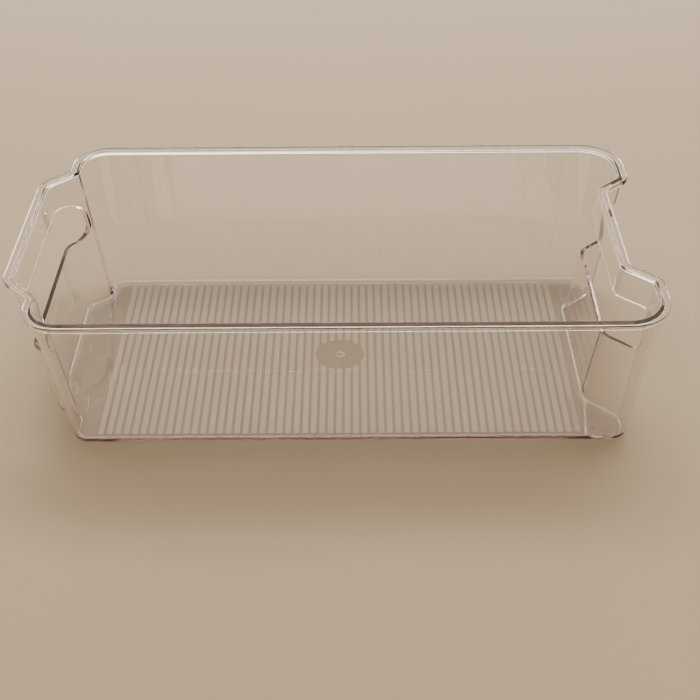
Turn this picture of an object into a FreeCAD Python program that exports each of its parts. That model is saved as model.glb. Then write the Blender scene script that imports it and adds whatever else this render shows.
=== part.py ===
"""Clear refrigerator bin: an open tray with flared walls, a thick rim and a grip opening in each end.

The left end bulges outward between its corner posts and the right end is recessed by about as much, so the
bin has a proud handle at one end and a finger recess at the other. The real bin is one injection moulding.
Here the moulding is built whole and then divided, face to face, into the regions that a person would name.

Frame: X along the length, Y across the width with -Y at the front, +Z up. The origin is at the centre of the
bin's bounding box on the surface that it stands on. Units are millimetres.
"""

import FreeCAD
import Part

import math
import os

V = FreeCAD.Vector

# Overall size
LENGTH = 369.5
WIDTH = 204.0
HEIGHT = 95.3

# Thicknesses
WALL = 2.5
FLOOR = 2.5
FOOT_H = 0.8
LIP_OVERHANG = 3.1
LIP_H = 3.2

# Plan of the walls' outer face, at the rim and at the base
RIM_HALF_Y = WIDTH / 2 - LIP_OVERHANG
BASE_HALF_Y = RIM_HALF_Y - 14.2
RIM_END_X = LENGTH / 2 - LIP_OVERHANG
BULGE_STEP_RIM = 16.8
BULGE_STEP_BASE = 14.0
BULGE_BASE_X = RIM_END_X - 15.2
RECESS_STEP_RIM = 15.8
RECESS_STEP_BASE = 19.0
POST_BASE_X = RIM_END_X - 10.5

# Places along Y where the end walls step out or in: (rim, base)
BULGE_CREASE_Y = (70.5, 65.5)
BULGE_CORNER_Y = (53.6, 54.2)
RECESS_MOUTH_Y = (57.0, 62.0)
RECESS_CORNER_Y = (43.0, 45.5)

# Plan radii: (rim, base)
LEFT_CORNER_R = (18.5, 10.0)
RIGHT_CORNER_R = (23.4, 10.0)
CREASE_R = (3.5, 3.5)
BULGE_R = (13.0, 13.0)
MOUTH_R = (6.0, 8.0)
RECESS_R = (8.0, 12.0)

# Fillets along the base and the rim
OUTER_BASE_R = 3.0
INNER_BASE_R = 2.4
RIM_R = 0.9

# Grip openings, and how far in from each end of the bin they cut
GRIP_Z = (49.5, 76.0)
GRIP_R = 10.0
GRIP_CUT = 34.0
LEFT_GRIP_HALF = 66.5
RIGHT_GRIP_HALF = 66.5

# Floor strips: low frosted ribs under the floor, with a clear disc round the gate
STRIP_COUNT = 57
STRIP_PITCH = 5.0
STRIP_W = 3.2
STRIP_H = 0.3
STRIP_HALF_LENGTH = 76.5
FLOOR_CENTRE_X = 3.1
CLEAR_DISC_R = 15.3
GATE_OUTER_R = 3.2
GATE_INNER_R = 2.2
GATE_H = 0.4

# Foot bars: four straight bars under the floor, near its corners. Each end's place: (x, nearest |y|)
FOOT_W = 2.2
FOOT_END_R = 0.99
FOOT_LENGTH = 24.0
FOOT_LEFT = (-149.4, 40.5)
FOOT_RIGHT = (152.6, 49.0)

# Planes that divide the moulding into regions
FLOOR_BOTTOM = FOOT_H
FLOOR_TOP = FLOOR_BOTTOM + FLOOR
LIP_BOTTOM = HEIGHT - LIP_H
GRIP_MID = sum(GRIP_Z) / 2
LEFT_CUT_X = -136.0
RIGHT_CUT_X = 144.0
BIG = 400.0


def mix(pair, share):
    """A value at this share of the height, from its (rim, base) pair."""
    rim, base = pair
    return base + (rim - base) * share


def plan_corners(z):
    """The walls' outer face at height z, anticlockwise from the back left: (x, y, radius, is_convex)."""
    share = z / HEIGHT
    half_y = mix((RIM_HALF_Y, BASE_HALF_Y), share)
    left = -mix((RIM_END_X, BULGE_BASE_X), share)
    left_post = left + mix((BULGE_STEP_RIM, BULGE_STEP_BASE), share)
    right_post = mix((RIM_END_X, POST_BASE_X), share)
    right = right_post - mix((RECESS_STEP_RIM, RECESS_STEP_BASE), share)
    crease = (mix(BULGE_CREASE_Y, share), mix(CREASE_R, share))
    bulge = (mix(BULGE_CORNER_Y, share), mix(BULGE_R, share))
    mouth = (mix(RECESS_MOUTH_Y, share), mix(MOUTH_R, share))
    recess = (mix(RECESS_CORNER_Y, share), mix(RECESS_R, share))
    left_half = [
        (left_post, half_y, mix(LEFT_CORNER_R, share), True),
        (left_post, *crease, False),
        (left, *bulge, True),
    ]
    right_half = [
        (right, *recess, False),
        (right_post, *mouth, True),
        (right_post, half_y, mix(RIGHT_CORNER_R, share), True),
    ]

    def mirrored(corners):
        return [(x, -y, r, convex) for x, y, r, convex in reversed(corners)]

    return left_half + mirrored(left_half) + mirrored(right_half) + right_half


def inset_corners(corners, inset):
    """The same corners with every side moved inward by inset. A negative inset moves them outward."""
    moved = []
    count = len(corners)
    for i, (x, y, r, convex) in enumerate(corners):
        before = corners[i - 1]
        after = corners[(i + 1) % count]
        a = V(x - before[0], y - before[1], 0).normalize()
        b = V(after[0] - x, after[1] - y, 0).normalize()
        # The outline runs anticlockwise, so its inside is on the left of each side.
        across = V(-a.y - b.y, a.x + b.x, 0).normalize()
        reach = inset / (across.x * -a.y + across.y * a.x)
        new_r = r - inset if convex else r + inset
        moved.append((x + across.x * reach, y + across.y * reach, new_r, convex))
    return moved


def outline(z, inset=0.0):
    """A closed wire of straight sides and arcs: the walls' outer face at height z, moved inward by inset."""
    corners = inset_corners(plan_corners(z), inset)
    count = len(corners)
    arcs = []
    for i, (x, y, r, _) in enumerate(corners):
        here = V(x, y, z)
        a = (V(corners[i - 1][0], corners[i - 1][1], z) - here).normalize()
        b = (V(corners[(i + 1) % count][0], corners[(i + 1) % count][1], z) - here).normalize()
        half_angle = a.getAngle(b) / 2
        tangent = r / math.tan(half_angle)
        middle = (a + b).normalize()
        mid_point = here + middle * (r / math.sin(half_angle) - r)
        arcs.append((here + a * tangent, mid_point, here + b * tangent))
    edges = []
    for i, (start, middle, end) in enumerate(arcs):
        edges.append(Part.Arc(start, middle, end).toShape())
        edges.append(Part.LineSegment(end, arcs[(i + 1) % count][0]).toShape())
    return Part.Wire(edges)


def loft(low_z, high_z, inset=0.0):
    """The solid inside the outlines at two heights."""
    return Part.makeLoft([outline(low_z, inset), outline(high_z, inset)], True, True)


def edges_at(solid, z):
    """The edges that lie in the plane at height z."""
    return [e for e in solid.Edges if abs(e.BoundBox.ZMin - z) < 1e-4 and abs(e.BoundBox.ZMax - z) < 1e-4]


def between(low, high):
    """A box from one corner to the opposite one."""
    return Part.makeBox(high[0] - low[0], high[1] - low[1], high[2] - low[2], V(*low))


def rounded_slot(half_y, x_low, x_high):
    """The space of a grip opening: a rounded rectangle in YZ, drawn out along X."""
    block = between((x_low, -half_y, GRIP_Z[0]), (x_high, half_y, GRIP_Z[1]))
    along_x = [e for e in block.Edges if e.BoundBox.XLength > 1]
    return block.makeFillet(GRIP_R, along_x)


def make_moulding():
    """The whole clear shell with its rim lip and both grip openings."""
    outside = loft(FLOOR_BOTTOM, HEIGHT)
    outside = outside.makeFillet(OUTER_BASE_R, edges_at(outside, FLOOR_BOTTOM))
    lip = loft(LIP_BOTTOM, HEIGHT, -LIP_OVERHANG)
    lip = lip.makeFillet(RIM_R, edges_at(lip, HEIGHT))
    inside = loft(FLOOR_TOP, HEIGHT, WALL)
    inside = inside.makeFillet(INNER_BASE_R, edges_at(inside, FLOOR_TOP))
    solid = outside.fuse(lip).cut(inside)
    solid = solid.cut(rounded_slot(LEFT_GRIP_HALF, -BIG / 2, -LENGTH / 2 + GRIP_CUT))
    return solid.cut(rounded_slot(RIGHT_GRIP_HALF, LENGTH / 2 - GRIP_CUT, BIG / 2))


def regions():
    """Each region's name and the box that holds it."""
    low, high = -BIG, BIG
    wall_low, wall_high = FLOOR_TOP, LIP_BOTTOM
    found = {
        "floor_panel": ((low, low, -1), (high, high, FLOOR_TOP)),
        "front_wall": ((LEFT_CUT_X, low, wall_low), (RIGHT_CUT_X, 0, wall_high)),
        "back_wall": ((LEFT_CUT_X, 0, wall_low), (RIGHT_CUT_X, high, wall_high)),
        "front_rim": ((LEFT_CUT_X, low, wall_high), (RIGHT_CUT_X, 0, high)),
        "back_rim": ((LEFT_CUT_X, 0, wall_high), (RIGHT_CUT_X, high, high)),
    }
    ends = {
        "left": (low, LEFT_CUT_X, LEFT_GRIP_HALF),
        "right": (RIGHT_CUT_X, high, RIGHT_GRIP_HALF),
    }
    for side, (x_low, x_high, half) in ends.items():
        found[f"{side}_end_wall"] = ((x_low, -half, wall_low), (x_high, half, GRIP_MID))
        found[f"{side}_handle_band"] = ((x_low, -half, GRIP_MID), (x_high, half, wall_high))
        found[f"{side}_rim"] = ((x_low, -half, wall_high), (x_high, half, high))
        found[f"front_{side}_corner"] = ((x_low, low, wall_low), (x_high, -half, high))
        found[f"back_{side}_corner"] = ((x_low, half, wall_low), (x_high, high, high))
    return found


def floor_strips():
    """The frosted ribs under the floor, which stop short of the clear disc round the gate."""
    disc = Part.makeCylinder(CLEAR_DISC_R, 4 * STRIP_H, V(FLOOR_CENTRE_X, 0, FLOOR_BOTTOM - 2 * STRIP_H))
    solids = []
    for i in range(STRIP_COUNT):
        x = FLOOR_CENTRE_X + (i - (STRIP_COUNT - 1) / 2) * STRIP_PITCH
        strip = between(
            (x - STRIP_W / 2, -STRIP_HALF_LENGTH, FLOOR_BOTTOM - STRIP_H),
            (x + STRIP_W / 2, STRIP_HALF_LENGTH, FLOOR_BOTTOM),
        )
        if abs(x - FLOOR_CENTRE_X) < CLEAR_DISC_R + STRIP_W / 2:
            strip = strip.cut(disc)
        solids += strip.Solids
    return Part.makeCompound(solids)


def foot_bars():
    """Four bars under the floor's corners, rounded at their ends."""
    solids = []
    for x, start_y in (FOOT_LEFT, FOOT_RIGHT):
        for side in (-1, 1):
            near = side * start_y
            far = side * (start_y + FOOT_LENGTH)
            bar = between(
                (x - FOOT_W / 2, min(near, far), 0),
                (x + FOOT_W / 2, max(near, far), FOOT_H),
            )
            upright = [e for e in bar.Edges if e.BoundBox.ZLength > FOOT_H / 2]
            solids.append(bar.makeFillet(FOOT_END_R, upright))
    return Part.makeCompound(solids)


def gate_ring():
    """The low ring that the moulding gate leaves in the middle of the underside."""
    base = V(FLOOR_CENTRE_X, 0, FLOOR_BOTTOM - GATE_H)
    return Part.makeCylinder(GATE_OUTER_R, GATE_H, base).cut(Part.makeCylinder(GATE_INNER_R, GATE_H, base))


def main():
    os.makedirs("parts", exist_ok=True)
    moulding = make_moulding()
    nodes = {name: moulding.common(between(*box)) for name, box in regions().items()}
    nodes["frosted_floor_strips"] = floor_strips()
    nodes["foot_bars"] = foot_bars()
    nodes["gate_ring"] = gate_ring()
    for name, shape in nodes.items():
        shape.exportStep(f"parts/{name}.step")
        print(f"{name}: {len(shape.Solids)} solids, {shape.Volume / 1000:.2f} cm3, valid {shape.isValid()}")
    whole = sum(nodes[name].Volume for name in regions())
    print(f"moulding {moulding.Volume / 1000:.2f} cm3, its regions {whole / 1000:.2f} cm3")


main()
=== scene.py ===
"""Clear refrigerator bin: one continuous moulded shell, with frosted floor strips, foot bars and a gate mark.

The shell is one closed skin. Each of its rows is the plan outline at some height, moved inward from the
walls' outer face by some inset, so a list of (inset, height) pairs is the wall's cross-section. Each end wall
is laid out on fixed lines of Y, and its grip opening is set into that grid with rounded edges.
"""

import math

import bpy
from mathutils import Matrix, Vector


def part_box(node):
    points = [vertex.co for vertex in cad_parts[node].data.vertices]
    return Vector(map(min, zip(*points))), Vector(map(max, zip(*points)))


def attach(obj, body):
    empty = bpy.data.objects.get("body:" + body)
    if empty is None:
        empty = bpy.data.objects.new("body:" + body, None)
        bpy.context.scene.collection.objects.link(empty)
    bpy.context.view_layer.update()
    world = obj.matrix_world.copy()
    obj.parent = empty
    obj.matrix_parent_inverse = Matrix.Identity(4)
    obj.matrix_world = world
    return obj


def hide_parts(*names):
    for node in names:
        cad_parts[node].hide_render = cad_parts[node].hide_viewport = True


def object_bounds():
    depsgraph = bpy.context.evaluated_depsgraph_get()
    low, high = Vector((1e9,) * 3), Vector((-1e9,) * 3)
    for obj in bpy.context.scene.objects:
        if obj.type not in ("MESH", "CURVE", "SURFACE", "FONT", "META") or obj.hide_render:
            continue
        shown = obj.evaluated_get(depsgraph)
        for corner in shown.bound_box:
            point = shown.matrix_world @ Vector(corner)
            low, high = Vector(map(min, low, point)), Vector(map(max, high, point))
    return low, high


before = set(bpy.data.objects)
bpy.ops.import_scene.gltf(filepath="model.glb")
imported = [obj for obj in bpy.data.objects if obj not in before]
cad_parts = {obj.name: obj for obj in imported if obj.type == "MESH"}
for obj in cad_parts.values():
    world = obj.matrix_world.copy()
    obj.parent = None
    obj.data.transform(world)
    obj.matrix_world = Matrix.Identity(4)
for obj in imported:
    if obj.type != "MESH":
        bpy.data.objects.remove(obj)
cad_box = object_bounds()

MM = 0.001

# Heights, read from the frame
HEIGHT = cad_box[1].z
FLOOR_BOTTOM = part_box("floor_panel")[0].z
FLOOR_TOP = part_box("floor_panel")[1].z
LIP_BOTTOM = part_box("front_wall")[1].z

# Thicknesses. The lip is 0.02 mm short of the CAD's, so that the shell stays inside the CAD's box.
WALL = 2.5 * MM
LIP_OVERHANG = 3.08 * MM

# Plan of the walls' outer face, at the rim and at the base
RIM_HALF_Y = 98.9 * MM
BASE_HALF_Y = RIM_HALF_Y - 14.2 * MM
RIM_END_X = 181.65 * MM
BULGE_BASE_X = RIM_END_X - 15.2 * MM
POST_BASE_X = RIM_END_X - 10.5 * MM
BULGE_STEP = (16.8 * MM, 14.0 * MM)
RECESS_STEP = (15.8 * MM, 19.0 * MM)
BULGE_CREASE_Y = (70.5 * MM, 65.5 * MM)
BULGE_CORNER_Y = (53.6 * MM, 54.2 * MM)
RECESS_MOUTH_Y = (57.0 * MM, 62.0 * MM)
RECESS_CORNER_Y = (43.0 * MM, 45.5 * MM)

# Plan radii, at the rim and at the base
LEFT_CORNER_R = (18.5 * MM, 10.0 * MM)
RIGHT_CORNER_R = (23.4 * MM, 10.0 * MM)
CREASE_R = (3.5 * MM, 3.5 * MM)
BULGE_R = (13.0 * MM, 13.0 * MM)
MOUTH_R = (6.0 * MM, 8.0 * MM)
RECESS_R = (8.0 * MM, 12.0 * MM)

# Roundings of the cross-section
OUTER_BASE_R = 3.0 * MM
INNER_BASE_R = 2.4 * MM
LIP_TOP_R = 0.9 * MM
LIP_EDGE_R = 0.6 * MM
GRIP_EDGE_R = 0.3 * MM

# Grip openings
GRIP_Z = (49.5 * MM, 76.0 * MM)
GRIP_R = 10.0 * MM
GRIP_HALF = {"left": 66.5 * MM, "right": 66.5 * MM}

# The part of each end that is laid out on lines of Y, and the block of it that holds the grip opening
END_HALF_Y = 74.0 * MM
END_LINE_GAP = 1.1 * MM
LINE_COUNT = round(2 * END_HALF_Y / END_LINE_GAP)
END_LINES = [END_HALF_Y - 2 * END_HALF_Y * i / LINE_COUNT for i in range(LINE_COUNT + 1)]
BLOCK_Z = (44.0 * MM, 82.0 * MM)
BLOCK_LEVELS = 16
HOLE_RINGS = 7
HOLE_RING_CROWDING = 1.5

# The shell's mesh: steps round a corner post, and the spacing of the rows that hold a flat face flat
CORNER_STEPS = 22
SUPPORT = 2.0 * MM
RIGHT_START = len(END_LINES) + 2 * (CORNER_STEPS + 1) + 2

# Frosted strips under the floor, with a clear disc in the middle
STRIP_COUNT = 57
STRIP_PITCH = 5.0 * MM
STRIP_W = 3.2 * MM
STRIP_HALF_LENGTH = 76.5 * MM
STRIP_EDGE_R = 0.08 * MM
FLOOR_CENTRE_X = sum(v.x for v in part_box("gate_ring")) / 2
CLEAR_DISC_R = 15.3 * MM
STRIP_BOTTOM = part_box("frosted_floor_strips")[0].z

# Gate mark and foot bars
GATE_RADII = (2.2 * MM, 3.2 * MM)
GATE_EDGE_R = 0.3 * MM
FOOT_W = 2.2 * MM
FOOT_LENGTH = 24.0 * MM
FOOT_EDGE_R = 0.3 * MM
FOOT_LEFT = (-149.4 * MM, 40.5 * MM)
FOOT_RIGHT = (152.6 * MM, 49.0 * MM)

# The air gap between two pieces, the tolerance of a comparison, and how close two vertices are when shared
GAP = 0.03 * MM
TOLERANCE = 0.02 * MM
SHARED = 0.1 * TOLERANCE

# Studio
FLOOR_REACH = 4.0
CAMERA_PLACE = (0.0131, -0.6465, 0.48975)
CAMERA_YAW = -0.31
CAMERA_PITCH = 36.9
CAMERA_ROLL = 0.53
CAMERA_LENS = 65.53
LIGHT_PATH_STEPS = 48

# World: its colour towards the front and the back, and where along Y it changes, from -1 to 1 as 0 to 1
WORLD_STRENGTH = 1.5
WORLD_FRONT = (0.25, (0.13, 0.105, 0.08, 1))
WORLD_BACK = (0.75, (0.74, 0.62, 0.45, 1))

# Plastics and floor
CLEAR_BASE = (1.0, 0.99, 0.985, 1)
CLEAR_IOR = 1.57
CLEAR_ROUGHNESS = (0.0, 0.015)
CLEAR_TINT = (0.56, 0.38, 0.44, 1)
CLEAR_TINT_DENSITY = 20
FROST_COLOURS = ((0.98, 0.87, 0.77, 1), (1.0, 0.91, 0.81, 1))
FROST_IOR = 1.3
FROST_ALPHA = (0.80, 0.84)
FROST_ROUGHNESS = (0.5, 0.65)
FLOOR_COLOURS = ((0.54, 0.43, 0.305, 1), (0.58, 0.465, 0.335, 1))
FLOOR_ROUGHNESS = 0.6

# The part of a noise texture's output that is stretched to a full range
NOISE_SPAN = (0.3, 0.7)


def mix(pair, share):
    """A value at this share of the height, from its (rim, base) pair."""
    rim, base = pair
    return base + (rim - base) * share


def plan_corners(z):
    """The walls' outer face at height z, anticlockwise from the back left: (x, y, radius, is_convex)."""
    share = z / HEIGHT
    half_y = mix((RIM_HALF_Y, BASE_HALF_Y), share)
    left = -mix((RIM_END_X, BULGE_BASE_X), share)
    left_post = left + mix(BULGE_STEP, share)
    right_post = mix((RIM_END_X, POST_BASE_X), share)
    right = right_post - mix(RECESS_STEP, share)
    left_half = [
        (left_post, half_y, mix(LEFT_CORNER_R, share), True),
        (left_post, mix(BULGE_CREASE_Y, share), mix(CREASE_R, share), False),
        (left, mix(BULGE_CORNER_Y, share), mix(BULGE_R, share), True),
    ]
    right_half = [
        (right, mix(RECESS_CORNER_Y, share), mix(RECESS_R, share), False),
        (right_post, mix(RECESS_MOUTH_Y, share), mix(MOUTH_R, share), True),
        (right_post, half_y, mix(RIGHT_CORNER_R, share), True),
    ]

    def mirrored(corners):
        return [(x, -y, r, convex) for x, y, r, convex in reversed(corners)]

    return left_half + mirrored(left_half) + mirrored(right_half) + right_half


def inset_corners(corners, inset):
    """The same corners with every side moved inward by inset. A negative inset moves them outward."""
    moved = []
    count = len(corners)
    for i, (x, y, r, convex) in enumerate(corners):
        before = corners[i - 1]
        after = corners[(i + 1) % count]
        a = Vector((x - before[0], y - before[1])).normalized()
        b = Vector((after[0] - x, after[1] - y)).normalized()
        # The outline runs anticlockwise, so its inside is on the left of each side.
        across = Vector((-a.y - b.y, a.x + b.x)).normalized()
        reach = inset / (across.x * -a.y + across.y * a.x)
        new_r = r - inset if convex else r + inset
        moved.append((x + across.x * reach, y + across.y * reach, new_r, convex))
    return moved


def fillet(before, here, after, radius):
    """The arc that rounds a corner: its centre, its first and last point, all as 2-D vectors."""
    a = (before - here).normalized()
    b = (after - here).normalized()
    half_angle = a.angle(b) / 2
    centre = here + (a + b).normalized() * (radius / math.sin(half_angle))
    tangent = radius / math.tan(half_angle)
    return centre, here + a * tangent, here + b * tangent


class Outline:
    """The plan outline at one height and inset."""

    def __init__(self, inset, z):
        self.z = z
        corners = inset_corners(plan_corners(z), inset)
        points = [Vector(c[:2]) for c in corners]
        count = len(points)
        self.arcs = []
        for i, (_, _, r, _) in enumerate(corners):
            centre, start, end = fillet(points[i - 1], points[i], points[(i + 1) % count], r)
            self.arcs.append((centre, start, end, r))

    def end_x(self, side, y):
        """Where the end wall of this side lies at this Y."""
        y = abs(y)
        # The left end's arcs come first in the outline and the right end's last, with the back half at +Y.
        if side == "left":
            outer, inner = self.arcs[1], self.arcs[2]
            outer_far, outer_near, inner_far, inner_near = outer[1], outer[2], inner[1], inner[2]
        else:
            outer, inner = self.arcs[-2], self.arcs[-3]
            outer_far, outer_near, inner_far, inner_near = outer[2], outer[1], inner[2], inner[1]
        if y >= outer_far.y:
            return outer_far.x
        if y > outer_near.y:
            return self.on_arc(outer, outer_far, y)
        if y >= inner_far.y:
            share = (y - inner_far.y) / (outer_near.y - inner_far.y)
            return inner_far.x + (outer_near.x - inner_far.x) * share
        if y > inner_near.y:
            return self.on_arc(inner, inner_near, y)
        return inner_near.x

    @staticmethod
    def on_arc(arc, upright_point, y):
        """The X of an arc at this Y, on the side where the arc meets the line of constant X."""
        centre, _, _, r = arc
        reach = math.sqrt(max(r * r - (y - centre.y) ** 2, 0.0))
        return centre.x + math.copysign(reach, upright_point.x - centre.x)

    def corner(self, index, steps):
        """The points of one corner post's arc."""
        centre, start, end, r = self.arcs[index]
        first = math.atan2(start.y - centre.y, start.x - centre.x)
        last = math.atan2(end.y - centre.y, end.x - centre.x)
        turn = (last - first) % (2 * math.pi)
        angles = [first + turn * i / steps for i in range(steps + 1)]
        return [(centre.x + r * math.cos(a), centre.y + r * math.sin(a)) for a in angles]


def ring(inset, z):
    """One row of the shell, anticlockwise seen from above, with the two end walls first in each half."""
    line = Outline(inset, z)
    left = [(line.end_x("left", y), y) for y in END_LINES]
    right = [(line.end_x("right", y), y) for y in reversed(END_LINES)]
    front_left = line.corner(5, CORNER_STEPS)
    front_right = line.corner(6, CORNER_STEPS)
    back_right = line.corner(-1, CORNER_STEPS)
    back_left = line.corner(0, CORNER_STEPS)
    front_y = front_left[-1][1]
    back_y = back_right[-1][1]
    front = [(front_left[-1][0] + SUPPORT, front_y), (front_right[0][0] - SUPPORT, front_y)]
    back = [(back_right[-1][0] - SUPPORT, back_y), (back_left[0][0] + SUPPORT, back_y)]
    plan = left + front_left + front + front_right + right + back_right + back + back_left
    return [Vector((x, y, z)) for x, y in plan]


def quarter(steps):
    """Shares of a quarter turn, from 0 to 1, as (sine, cosine) pairs."""
    return [(math.sin(math.pi / 2 * i / steps), math.cos(math.pi / 2 * i / steps)) for i in range(steps + 1)]


def spread(low, high, count):
    return [low + (high - low) * i / count for i in range(count + 1)]


def wall_levels(low, high):
    """Heights of a wall's rows, with those of the block round the grip opening among them."""
    below = [low, low + SUPPORT] + spread(low + 3 * SUPPORT, BLOCK_Z[0], 3)
    above = spread(BLOCK_Z[1], high - SUPPORT, 2) + [high]
    return below + spread(*BLOCK_Z, BLOCK_LEVELS)[1:-1] + above


def cross_section():
    """The wall's section from the underside of the floor, up the outer face, over the rim and down inside."""
    rows = [(OUTER_BASE_R + 2 * SUPPORT, FLOOR_BOTTOM), (OUTER_BASE_R + SUPPORT, FLOOR_BOTTOM)]
    for s, c in quarter(6):
        rows.append((OUTER_BASE_R * (1 - s), FLOOR_BOTTOM + OUTER_BASE_R * (1 - c)))
    edge_r = LIP_EDGE_R
    rows += [(0.0, z) for z in wall_levels(FLOOR_BOTTOM + OUTER_BASE_R, LIP_BOTTOM - edge_r)[1:]]
    # The lip: under it, round its outer edges and over its top
    rows += [(-edge_r * (1 - c), LIP_BOTTOM - edge_r * (1 - s)) for s, c in quarter(3)[1:]]
    rows += [(-LIP_OVERHANG + edge_r * (1 - s), LIP_BOTTOM + edge_r * (1 - c)) for s, c in quarter(3)]
    rows.append((-LIP_OVERHANG, (LIP_BOTTOM + HEIGHT) / 2))
    rows += [(-LIP_OVERHANG + LIP_TOP_R * (1 - c), HEIGHT - LIP_TOP_R * (1 - s)) for s, c in quarter(4)]
    rows.append(((WALL - LIP_OVERHANG) / 2, HEIGHT))
    # The inner face, down to the floor
    rows += [(WALL - edge_r * (1 - s), HEIGHT - edge_r * (1 - c)) for s, c in quarter(3)]
    base_r = INNER_BASE_R
    rows += [(WALL, z) for z in reversed(wall_levels(FLOOR_TOP + base_r, HEIGHT - edge_r)[:-1])]
    rows += [(WALL + base_r * (1 - c), FLOOR_TOP + base_r * (1 - s)) for s, c in quarter(5)[1:]]
    rows += [(WALL + base_r + SUPPORT, FLOOR_TOP), (WALL + base_r + 2 * SUPPORT, FLOOR_TOP)]
    return rows


class Skin:
    """Collects vertices and faces, sharing vertices that are in the same place."""

    def __init__(self):
        self.places = {}
        self.points = []
        self.faces = []

    def vertex(self, point):
        key = tuple(round(v / SHARED) for v in point)
        if key not in self.places:
            self.places[key] = len(self.points)
            self.points.append(tuple(point))
        return self.places[key]

    def face(self, points):
        corners = []
        for p in points:
            index = self.vertex(p)
            if index not in corners:
                corners.append(index)
        if len(corners) > 2:
            self.faces.append(corners)

    def strip(self, lower, upper, skip=()):
        """Quads between two closed rows of points."""
        count = len(lower)
        for i in range(count):
            if i not in skip:
                j = (i + 1) % count
                self.face((lower[i], lower[j], upper[j], upper[i]))

    def piece(self, name):
        mesh = bpy.data.meshes.new(name)
        mesh.from_pydata(self.points, [], self.faces)
        mesh.validate()
        mesh.shade_smooth()
        piece = bpy.data.objects.new(name, mesh)
        bpy.context.scene.collection.objects.link(piece)
        return piece


def block_loop():
    """The (y, z) points round the block that holds a grip opening, from its back bottom corner."""
    levels = spread(*BLOCK_Z, BLOCK_LEVELS)
    bottom = [(y, BLOCK_Z[0]) for y in END_LINES]
    top = [(y, BLOCK_Z[1]) for y in reversed(END_LINES)]
    front = [(END_LINES[-1], z) for z in levels[1:-1]]
    back = [(END_LINES[0], z) for z in reversed(levels[1:-1])]
    return bottom + front + top + back


def hole_point(y, z, half):
    """The grip opening's edge point that matches a point on its block: (y, z) and the outward direction."""
    low, high = GRIP_Z
    middle = (low + high) / 2
    straight = half - GRIP_R
    up = 1 if z > middle else -1
    out = 1 if y > 0 else -1
    if abs(y) <= straight:
        return (y, high if up > 0 else low), (0.0, up)
    # The rest of this quarter of the block goes evenly round the corner and down the opening's short side.
    across = min(abs(y), END_HALF_Y) - straight
    reach = (BLOCK_Z[1] - middle) if up > 0 else (middle - BLOCK_Z[0])
    down = 0.0 if abs(y) < END_HALF_Y - TOLERANCE else reach - abs(z - middle)
    share = (across + down) / (END_HALF_Y - straight + reach)
    arc = GRIP_R * math.pi / 2
    side = (high - low) / 2 - GRIP_R
    travel = share * (arc + side)
    if travel < arc:
        angle = travel / GRIP_R
        n = (math.sin(angle), math.cos(angle))
        place = (straight + GRIP_R * n[0], side + GRIP_R * n[1])
    else:
        n = (1.0, 0.0)
        place = (half, side - (travel - arc))
    return (out * place[0], middle + up * place[1]), (out * n[0], up * n[1])


def grip_opening(skin, side):
    """The wall round a grip opening, on both faces, and the opening's rounded edge."""
    half = GRIP_HALF[side]
    block = block_loop()
    edge = [hole_point(y, z, half) for y, z in block]
    turned = side == "right"

    def place(y, z, inset):
        return Vector((Outline(inset, z).end_x(side, y), y, z))

    rows = []
    for inset, outer in ((0.0, True), (WALL, False)):
        face_rows = []
        for i in range(HOLE_RINGS + 1):
            share = (i / HOLE_RINGS) ** HOLE_RING_CROWDING
            face_row = []
            for (by, bz), ((hy, hz), (ny, nz)) in zip(block, edge):
                near_y, near_z = hy + GRIP_EDGE_R * ny, hz + GRIP_EDGE_R * nz
                y = near_y + (by - near_y) * share
                z = near_z + (bz - near_z) * share
                face_row.append(place(y, z, inset))
            face_rows.append(face_row)
        rows += reversed(face_rows) if outer else face_rows
        if outer:
            rounding = [(1 - s, GRIP_EDGE_R * (1 - c)) for s, c in quarter(3)[1:]]
            rounding += [(1 - c, WALL - GRIP_EDGE_R * (1 - s)) for s, c in quarter(3)[:-1]]
            for back_off, depth in rounding:
                off = GRIP_EDGE_R * back_off
                rows.append([place(hy + off * ny, hz + off * nz, depth) for (hy, hz), (ny, nz) in edge])
    for a, b in zip(rows, rows[1:]):
        if turned:
            skin.strip(b, a)
        else:
            skin.strip(a, b)


def make_shell():
    """The whole moulding as one closed skin."""
    skin = Skin()
    rows = cross_section()
    rings = [ring(inset, z) for inset, z in rows]
    left_faces = set(range(len(END_LINES) - 1))
    right_faces = set(range(RIGHT_START, RIGHT_START + len(END_LINES) - 1))
    for (lower, upper), (a, b) in zip(zip(rings, rings[1:]), zip(rows, rows[1:])):
        low, high = sorted((a[1], b[1]))
        in_block = a[0] == b[0] and low > BLOCK_Z[0] - TOLERANCE and high < BLOCK_Z[1] + TOLERANCE
        skin.strip(lower, upper, left_faces | right_faces if in_block else ())
    skin.face(reversed(rings[0]))
    skin.face(rings[-1])
    for side in GRIP_HALF:
        grip_opening(skin, side)
    return skin.piece("clear_shell")


def inset_polygon(points, inset):
    """A closed anticlockwise outline in plan, with every side moved inward by inset."""
    moved = []
    count = len(points)
    for i, point in enumerate(points):
        a = (point - points[i - 1]).normalized()
        b = (points[(i + 1) % count] - point).normalized()
        across = Vector((-a.y - b.y, a.x + b.x)).normalized()
        moved.append(point + across * (inset / (across.x * -a.y + across.y * a.x)))
    return moved


def add_slab(skin, outline, low, high, edge_r):
    """A flat slab on an anticlockwise outline, with its lower and upper edges rounded."""
    rows = []
    for s, c in quarter(3):
        rows.append((edge_r * (1 - s), low + edge_r * (1 - c)))
    for s, c in quarter(3):
        rows.append((edge_r * (1 - c), high - edge_r * (1 - s)))
    rings = [[Vector((p.x, p.y, z)) for p in inset_polygon(outline, inset)] for inset, z in rows]
    for lower, upper in zip(rings, rings[1:]):
        skin.strip(lower, upper)
    skin.face(list(reversed(rings[0])))
    skin.face(rings[-1])


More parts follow.
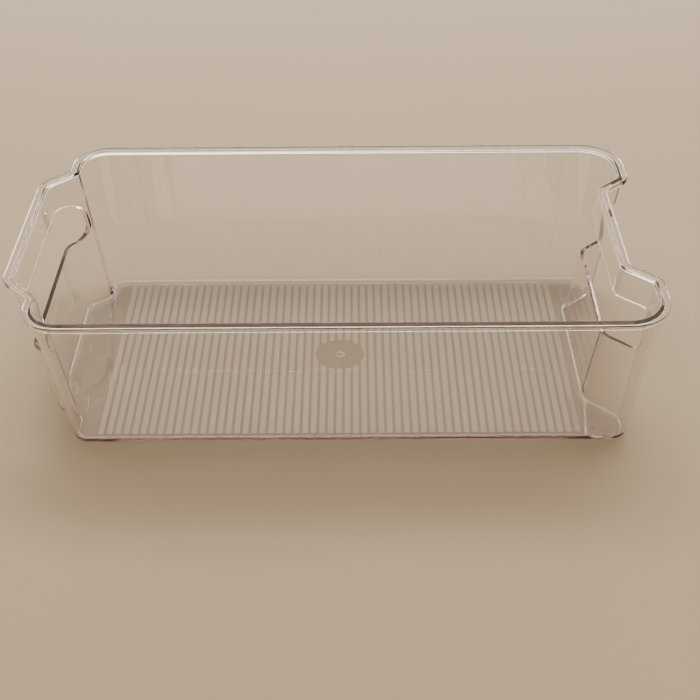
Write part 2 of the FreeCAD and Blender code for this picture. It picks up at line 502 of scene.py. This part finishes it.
def arc_points(centre, radius, first, last, steps):
    """Points on an arc in plan, from one angle to the other, both in degrees."""
    angles = [math.radians(first + (last - first) * i / steps) for i in range(steps + 1)]
    return [centre + radius * Vector((math.cos(a), math.sin(a))) for a in angles]


def strip_outlines(offset):
    """The outlines of the frosted strip this far from the clear disc's middle, relative to that middle."""
    low, high = offset - STRIP_W / 2, offset + STRIP_W / 2
    end = STRIP_HALF_LENGTH

    def disc_y(x):
        return math.sqrt(max(CLEAR_DISC_R ** 2 - x * x, 0.0))

    if min(abs(low), abs(high)) >= CLEAR_DISC_R and low * high > 0:
        return [[Vector(p) for p in ((low, -end), (high, -end), (high, end), (low, end))]]
    if max(abs(low), abs(high)) < CLEAR_DISC_R:
        inner = [(x, disc_y(x)) for x in spread(low, high, 6)]
        back = [Vector(p) for p in inner] + [Vector((high, end)), Vector((low, end))]
        return [back, mirror_y(back)]
    # This strip is only notched by the disc, on its side nearer the middle.
    side = math.copysign(1.0, offset)
    near = min(abs(low), abs(high))
    half_angle = math.degrees(math.acos(near / CLEAR_DISC_R))
    notch = arc_points(Vector((0, 0)), CLEAR_DISC_R, half_angle, -half_angle, 12)
    far = max(abs(low), abs(high))
    right = [Vector((near, end))] + notch + [Vector((near, -end)), Vector((far, -end)), Vector((far, end))]
    return [right if side > 0 else [Vector((-p.x, -p.y)) for p in right]]


def mirror_y(points):
    """The outline mirrored front to back, still anticlockwise."""
    return [Vector((p.x, -p.y)) for p in reversed(points)]


def make_strips():
    """The frosted strips under the floor."""
    skin = Skin()
    for i in range(STRIP_COUNT):
        offset = (i - (STRIP_COUNT - 1) / 2) * STRIP_PITCH
        for outline in strip_outlines(offset):
            placed = [Vector((FLOOR_CENTRE_X + p.x, p.y)) for p in outline]
            add_slab(skin, placed, STRIP_BOTTOM, FLOOR_BOTTOM - GAP, STRIP_EDGE_R)
    return skin.piece("frosted_strips")


def make_feet():
    """The four bars that the bin stands on, rounded at their ends and along their lower edges."""
    skin = Skin()
    r = FOOT_W / 2
    for x, start_y in (FOOT_LEFT, FOOT_RIGHT):
        far = Vector((x, start_y + FOOT_LENGTH - r))
        near = Vector((x, start_y + r))
        outline = arc_points(far, r, 0, 180, 10) + arc_points(near, r, 180, 360, 10)
        for placed in (outline, mirror_y(outline)):
            add_slab(skin, placed, 0.0, FLOOR_BOTTOM - GAP, FOOT_EDGE_R)
    return skin.piece("foot_bar_set")


def make_gate():
    """The ring left by the moulding gate: a small rounded section turned about the gate's axis."""
    skin = Skin()
    low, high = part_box("gate_ring")[0].z, FLOOR_BOTTOM - GAP
    inner, outer = GATE_RADII
    e = GATE_EDGE_R
    section = [(outer - e * (1 - s), low + e * (1 - c)) for s, c in quarter(4)]
    section += [(outer, high), (inner, high)]
    section += [(inner + e * (1 - c), low + e * (1 - s)) for s, c in quarter(4)]
    rings = []
    for r, z in section:
        rings.append([Vector((*p, z)) for p in arc_points(Vector((FLOOR_CENTRE_X, 0)), r, 0, 360, 64)[:-1]])
    for lower, upper in zip(rings, rings[1:] + rings[:1]):
        skin.strip(lower, upper)
    return skin.piece("gate_mark")


def node(tree, kind, **inputs):
    """A shader node with some of its inputs set. An underscore in a name stands for a space."""
    made = tree.nodes.new(kind)
    for name, value in inputs.items():
        made.inputs[name.replace("_", " ")].default_value = value
    return made


def new_material(name):
    """A material with a Principled shader on its output."""
    material = bpy.data.materials.new(name)
    material.use_nodes = True
    tree = material.node_tree
    tree.nodes.clear()
    output = tree.nodes.new("ShaderNodeOutputMaterial")
    shader = tree.nodes.new("ShaderNodeBsdfPrincipled")
    tree.links.new(shader.outputs["BSDF"], output.inputs["Surface"])
    return material, tree, shader, output


def noise(tree, scale, detail):
    """Noise in the object's own coordinates, in repeats per metre."""
    place = tree.nodes.new("ShaderNodeTexCoord")
    found = node(tree, "ShaderNodeTexNoise", Scale=scale, Detail=detail)
    tree.links.new(place.outputs["Object"], found.inputs["Vector"])
    return found.outputs["Fac"]


def ranged(tree, source, low, high):
    """A noise value moved to another range."""
    first, last = NOISE_SPAN
    span = node(tree, "ShaderNodeMapRange", From_Min=first, From_Max=last, To_Min=low, To_Max=high)
    tree.links.new(source, span.inputs["Value"])
    return span.outputs["Result"]


def bumped(tree, source, distance, strength):
    """A bump from this height, with its distance in metres."""
    bump = node(tree, "ShaderNodeBump", Strength=strength, Distance=distance)
    tree.links.new(source, bump.inputs["Height"])
    return bump.outputs["Normal"]


def blended(tree, source, colours):
    """A colour between these two, mixed by this value."""
    colour = node(tree, "ShaderNodeMix")
    colour.data_type = "RGBA"
    colour.inputs["A"].default_value, colour.inputs["B"].default_value = colours
    tree.links.new(source, colour.inputs["Factor"])
    return colour.outputs["Result"]


def clear_plastic():
    """Glossy clear plastic, pinkish brown where light runs far inside it, and very slightly wavy."""
    material, tree, shader, output = new_material("clear_plastic")
    shader.inputs["Base Color"].default_value = CLEAR_BASE
    shader.inputs["Transmission Weight"].default_value = 1.0
    shader.inputs["IOR"].default_value = CLEAR_IOR
    smears = noise(tree, scale=90, detail=3)
    tree.links.new(ranged(tree, smears, *CLEAR_ROUGHNESS), shader.inputs["Roughness"])
    waves = noise(tree, scale=9, detail=1)
    tree.links.new(bumped(tree, waves, distance=0.1 * MM, strength=0.1), shader.inputs["Normal"])
    tint = node(tree, "ShaderNodeVolumeAbsorption", Color=CLEAR_TINT, Density=CLEAR_TINT_DENSITY)
    tree.links.new(tint.outputs["Volume"], output.inputs["Volume"])
    return material


def frosted_plastic():
    """The strips' fine matte texture, as a film that scatters most of the light and passes the rest."""
    material, tree, shader, _ = new_material("frosted_plastic")
    shader.inputs["IOR"].default_value = FROST_IOR
    grain = noise(tree, scale=260, detail=3)
    tree.links.new(blended(tree, grain, FROST_COLOURS), shader.inputs["Base Color"])
    tree.links.new(ranged(tree, grain, *FROST_ALPHA), shader.inputs["Alpha"])
    patches = noise(tree, scale=500, detail=4)
    tree.links.new(ranged(tree, patches, *FROST_ROUGHNESS), shader.inputs["Roughness"])
    pits = noise(tree, scale=2600, detail=2)
    tree.links.new(bumped(tree, pits, distance=0.02 * MM, strength=0.3), shader.inputs["Normal"])
    return material


def floor_material():
    """A plain pale studio floor."""
    material, tree, shader, _ = new_material("studio_floor")
    shades = noise(tree, scale=5, detail=3)
    tree.links.new(blended(tree, shades, FLOOR_COLOURS), shader.inputs["Base Color"])
    shader.inputs["Roughness"].default_value = FLOOR_ROUGHNESS
    return material


def make_floor():
    """The floor that the bin stands on."""
    mesh = bpy.data.meshes.new("studio_floor")
    reach = FLOOR_REACH
    corners = [(-reach, -reach, 0), (reach, -reach, 0), (reach, reach, 0), (-reach, reach, 0)]
    mesh.from_pydata(corners, [], [(0, 1, 2, 3)])
    floor = bpy.data.objects.new("studio_floor", mesh)
    bpy.context.scene.collection.objects.link(floor)
    floor.data.materials.append(floor_material())
    floor.location.z = cad_box[0].z - GAP


def make_camera():
    """A camera in front of the bin, above it and looking down at it."""
    data = bpy.data.cameras.new("camera")
    data.sensor_width = 36.0
    data.lens = CAMERA_LENS
    data.clip_start = 0.01
    camera = bpy.data.objects.new("camera", data)
    bpy.context.scene.collection.objects.link(camera)
    yaw, pitch, roll = (math.radians(a) for a in (CAMERA_YAW, CAMERA_PITCH, CAMERA_ROLL))
    forward = Vector((math.sin(yaw) * math.cos(pitch), math.cos(yaw) * math.cos(pitch), -math.sin(pitch)))
    level = Vector((math.cos(yaw), -math.sin(yaw), 0))
    down = forward.cross(level)
    right = math.cos(roll) * level + math.sin(roll) * down
    up = math.sin(roll) * level - math.cos(roll) * down
    axes = Matrix((right, up, -forward)).transposed()
    camera.matrix_world = Matrix.Translation(CAMERA_PLACE) @ axes.to_4x4()
    bpy.context.scene.camera = camera


def area_light(name, place, target, size, power, colour):
    """A soft rectangular light, facing its target."""
    data = bpy.data.lights.new(name, "AREA")
    data.shape = "RECTANGLE"
    data.size, data.size_y = size
    data.energy = power
    data.color = colour
    light = bpy.data.objects.new(name, data)
    light.location = place
    light.rotation_euler = (Vector(target) - Vector(place)).to_track_quat("-Z", "Y").to_euler()
    bpy.context.scene.collection.objects.link(light)


def allow_long_light_paths():
    """Let light run along inside the plastic, as it does between the two faces of a wall."""
    paths = bpy.context.scene.cycles
    paths.max_bounces = LIGHT_PATH_STEPS
    paths.transmission_bounces = LIGHT_PATH_STEPS
    paths.glossy_bounces = LIGHT_PATH_STEPS
    paths.transparent_max_bounces = LIGHT_PATH_STEPS


def make_lights():
    """Soft light from above and behind, and a world that darkens towards the front."""
    area_light("top_softbox", (-0.2, 0.0, 1.4), (0, 0, 0), (1.2, 0.8), 5, (1.0, 0.92, 0.80))
    area_light("back_softbox", (0.2, 0.62, 1.3), (0, 0, 0.05), (1.8, 0.3), 10, (1.0, 0.94, 0.84))
    area_light("low_back_softbox", (0.0, 1.6, 0.2), (0, 0, 0.05), (3.0, 0.3), 24, (1.0, 0.94, 0.84))
    world = bpy.data.worlds.new("studio")
    bpy.context.scene.world = world
    world.use_nodes = True
    tree = world.node_tree
    tree.nodes.clear()
    output = tree.nodes.new("ShaderNodeOutputWorld")
    background = node(tree, "ShaderNodeBackground", Strength=WORLD_STRENGTH)
    place = tree.nodes.new("ShaderNodeTexCoord")
    apart = tree.nodes.new("ShaderNodeSeparateXYZ")
    ramp = tree.nodes.new("ShaderNodeValToRGB")
    for stop, (position, colour) in zip(ramp.color_ramp.elements, (WORLD_FRONT, WORLD_BACK)):
        stop.position = position
        stop.color = colour
    shift = node(tree, "ShaderNodeMath")
    shift.operation = "MULTIPLY_ADD"
    shift.inputs[1].default_value = 0.5
    shift.inputs[2].default_value = 0.5
    tree.links.new(place.outputs["Generated"], apart.inputs["Vector"])
    tree.links.new(apart.outputs["Y"], shift.inputs[0])
    tree.links.new(shift.outputs["Value"], ramp.inputs["Fac"])
    tree.links.new(ramp.outputs["Color"], background.inputs["Color"])
    tree.links.new(background.outputs["Background"], output.inputs["Surface"])


SHELL_NODES = [
    "floor_panel", "front_wall", "back_wall", "front_rim", "back_rim",
    "left_end_wall", "left_handle_band", "left_rim", "right_end_wall", "right_handle_band", "right_rim",
    "front_left_corner", "back_left_corner", "front_right_corner", "back_right_corner",
]


def add_piece(piece, material, nodes):
    """Finish a piece: its material, even normals, its body and the CAD nodes it stands for."""
    piece.data.materials.append(material)
    normals = piece.modifiers.new("even_normals", "WEIGHTED_NORMAL")
    normals.keep_sharp = True
    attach(piece, "root")
    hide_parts(*nodes)


make_camera()
allow_long_light_paths()
make_floor()
make_lights()
clear = clear_plastic()
frosted = frosted_plastic()
add_piece(make_shell(), clear, SHELL_NODES)
add_piece(make_strips(), frosted, ["frosted_floor_strips"])
add_piece(make_feet(), clear, ["foot_bars"])
add_piece(make_gate(), clear, ["gate_ring"])
